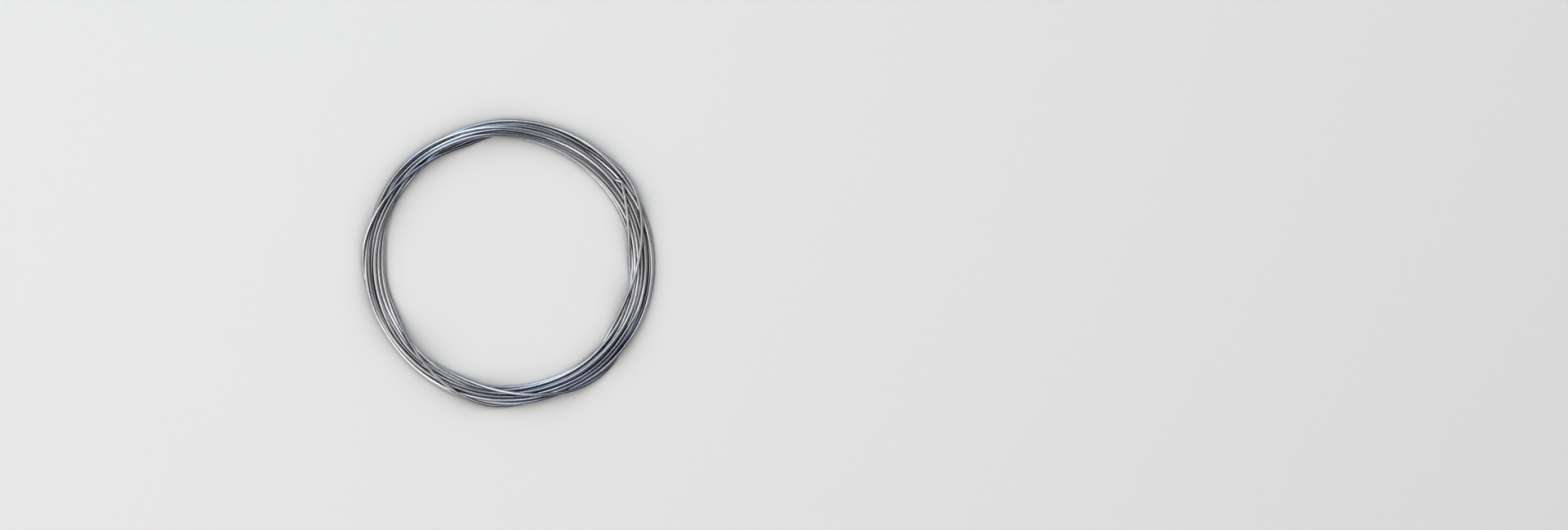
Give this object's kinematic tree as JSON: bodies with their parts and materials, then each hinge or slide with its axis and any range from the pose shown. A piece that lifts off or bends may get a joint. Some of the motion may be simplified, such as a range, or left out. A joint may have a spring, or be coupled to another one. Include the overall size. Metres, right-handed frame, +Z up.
{
  "type": "wire coil",
  "caption": "Coil of bare round nickel alloy wire, its loose turns bunched into one flat ring with an open bore that slips over a pay-off spindle.",
  "frame": {"origin": "on the coil's axis, at the level of the ground that the coil lies on", "axes": "+Z up along the coil's axis, +X and +Y level"},
  "size_m": [0.356, 0.356, 0.0184],
  "materials": {
    "drawn_wire": "bright drawn nickel alloy, smooth, with faint lengthwise draw lines"
  },
  "bodies": {
    "root": {"wire_coil": "drawn_wire"}
  },
  "joints": []
}
